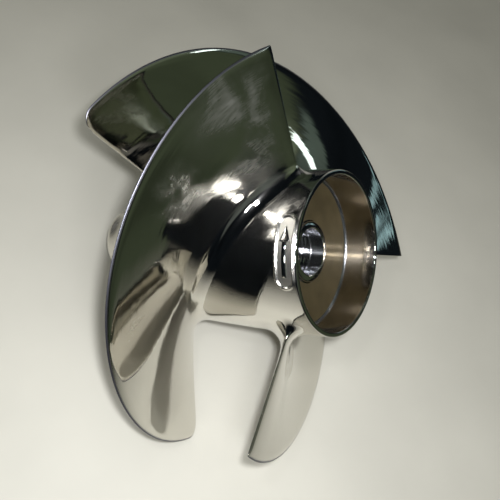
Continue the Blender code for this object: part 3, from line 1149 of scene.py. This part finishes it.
class IMPELLER_OT_plate(bpy.types.Operator):
    """Make the oblong frame on the hub, its cast field and a plain turning arrow"""
    bl_idname = "impeller.plate"
    bl_label = "Oblong frame"

    def execute(self, context):
        shape = context.scene.impeller_shape
        finish = context.scene.steel_finish
        bead_steel = cast_steel(finish, shape, roughness=0.22)
        add_piece("plate_frame", self.frame_form(shape), bead_steel, shape)
        field_steel = cast_steel(finish, shape, roughness=0.34)
        add_piece("plate_field", self.field_form(shape), field_steel, shape)
        add_piece("turning_arrow", self.arrow_form(shape), polished_steel(finish, shape), shape)
        return {"FINISHED"}

    def frame_form(self, shape, columns=11):
        """Round bead along the oblong, its feet just under the hub's skin."""
        line = oblong(shape.plate_length, shape.plate_width)
        half_width = 1.5 * shape.bead
        points = []
        for around, along, out_a, out_b in line:
            for w in np.linspace(-1.0, 1.0, columns):
                reach = half_width * w
                height = shape.bead * (0.5 + 0.5 * math.cos(math.pi * w)) - SUNK
                points.append(on_hub(shape, around + out_a * reach, along + out_b * reach, height))
        return points, strip_faces(len(line), columns, closed=True)

    def field_form(self, shape, rows=61, columns=9, height=0.00005):
        """Cast surface inside the bead, a hair above the polished skin."""
        span, end_round = 0.5 * shape.plate_length, 0.5 * shape.plate_width
        end = 0.5 * (shape.plate_length - shape.plate_width)
        points = []
        for i in range(rows):
            around = span * (2.0 * i / (rows - 1) - 1.0)
            past = max(0.0, abs(around) - end)
            wide = math.sqrt(max(0.0, end_round ** 2 - past ** 2))
            for k in range(columns):
                points.append(on_hub(shape, around, wide * (2.0 * k / (columns - 1) - 1.0), height))
        return points, strip_faces(rows, columns)

    def arrow_form(self, shape, stem_rows=20, head_rows=12):
        """Raised arrow that shows which way the impeller turns."""
        length, stem, head, head_length = 0.0165, 0.0007, 0.0019, 0.0050
        slope, height, round_over, barb = 0.00025, 0.00042, 0.8, 0.00002
        tail, neck = -0.5 * length, 0.5 * length - head_length
        places = [tail - slope, *np.linspace(tail, neck - barb, stem_rows),
                  *np.linspace(neck, 0.5 * length, head_rows)]
        widths = [stem] * (stem_rows + 1) + list(np.linspace(head, 0.0, head_rows))
        points = []
        for i, (around, wide) in enumerate(zip(places, widths)):
            top = height if i else -SUNK
            half = ((wide + slope, -SUNK), (wide, round_over * top), (wide * round_over, top))
            for along, high in [(-w, h) for w, h in half] + list(reversed(half)):
                points.append(on_hub(shape, around, along, high))
        return points, strip_faces(len(places), 2 * len(half))


class IMPELLER_OT_stage(bpy.types.Operator):
    """Make the floor, the lights, the surroundings and the camera"""
    bl_idname = "impeller.stage"
    bl_label = "Stage"

    def execute(self, context):
        studio = context.scene.studio_setup
        self.add_floor(context, studio)
        context.scene.world = room_world(studio)
        camera = self.add_camera(context, studio)
        beside_lens = camera.matrix_world @ Vector(KEY_PLACE)
        self.add_light("key_light", beside_lens, MIDDLE, size=(0.012, 0.012), power=0.66, colour=WHITE)
        for lamp in LAMPS:
            self.add_light(*lamp)
        bpy.data.objects["soft_light"].visible_glossy = False
        context.scene.view_settings.view_transform = "Standard"
        return {"FINISHED"}

    def add_floor(self, context, studio):
        mesh = bpy.data.meshes.new("floor")
        signs = ((-1, -1), (1, -1), (1, 1), (-1, 1))
        corners = [(FLOOR_HALF * x, FLOOR_HALF * y, 0.0) for x, y in signs]
        mesh.from_pydata(corners, [], [(0, 1, 2, 3)])
        mesh.materials.append(floor_material(studio))
        floor = bpy.data.objects.new("floor", mesh)
        context.scene.collection.objects.link(floor)

    def add_light(self, name, place, aim, size, power, colour):
        lamp = bpy.data.lights.new(name, "AREA")
        lamp.shape = "RECTANGLE" if size[0] != size[1] else "DISK"
        lamp.size, lamp.size_y = size
        lamp.energy = power
        lamp.color = colour
        light = bpy.data.objects.new(name, lamp)
        light.visible_camera = False
        bpy.context.scene.collection.objects.link(light)
        ahead = Vector(aim) - Vector(place)
        turn = ahead.to_track_quat("-Z", "Y").to_matrix().to_4x4()
        light.matrix_world = Matrix.Translation(place) @ turn

    def add_camera(self, context, studio):
        data = bpy.data.cameras.new("camera")
        data.sensor_width = 36.0
        data.sensor_fit = "HORIZONTAL"
        data.lens = studio.lens
        data.shift_x = studio.shift_x
        data.shift_y = studio.shift_y
        data.clip_start = 0.01
        camera = bpy.data.objects.new("camera", data)
        context.scene.collection.objects.link(camera)
        back = -Vector(studio.camera_ahead).normalized()
        right = Vector(studio.camera_right).normalized()
        up = back.cross(right)
        turn = Matrix((right, up, back)).transposed().to_4x4()
        camera.matrix_world = Matrix.Translation(studio.camera_place) @ turn
        context.scene.camera = camera
        bpy.context.view_layer.update()
        return camera


class IMPELLER_PT_panel(bpy.types.Panel):
    """Buttons for every piece of the impeller and its stage"""
    bl_idname = "IMPELLER_PT_panel"
    bl_label = "Pump Impeller"
    bl_space_type = "VIEW_3D"
    bl_region_type = "UI"
    bl_category = "Impeller"

    def draw(self, context):
        for operator in PIECES:
            self.layout.operator(operator.bl_idname)


PIECES = (IMPELLER_OT_casting, IMPELLER_OT_recess, IMPELLER_OT_thread, IMPELLER_OT_splines,
          IMPELLER_OT_plate, IMPELLER_OT_stage)
CLASSES = (ImpellerShape, SteelFinish, StudioSetup, *PIECES, IMPELLER_PT_panel)


def register():
    for item in CLASSES:
        bpy.utils.register_class(item)
    bpy.types.Scene.impeller_shape = PointerProperty(type=ImpellerShape)
    bpy.types.Scene.steel_finish = PointerProperty(type=SteelFinish)
    bpy.types.Scene.studio_setup = PointerProperty(type=StudioSetup)


def unregister():
    del bpy.types.Scene.studio_setup
    del bpy.types.Scene.steel_finish
    del bpy.types.Scene.impeller_shape
    for item in reversed(CLASSES):
        bpy.utils.unregister_class(item)


def main():
    register()
    bpy.ops.impeller.casting()
    bpy.ops.impeller.recess()
    bpy.ops.impeller.thread()
    bpy.ops.impeller.splines()
    bpy.ops.impeller.plate()
    bpy.ops.impeller.stage()


if __name__ == "__main__":
    main()
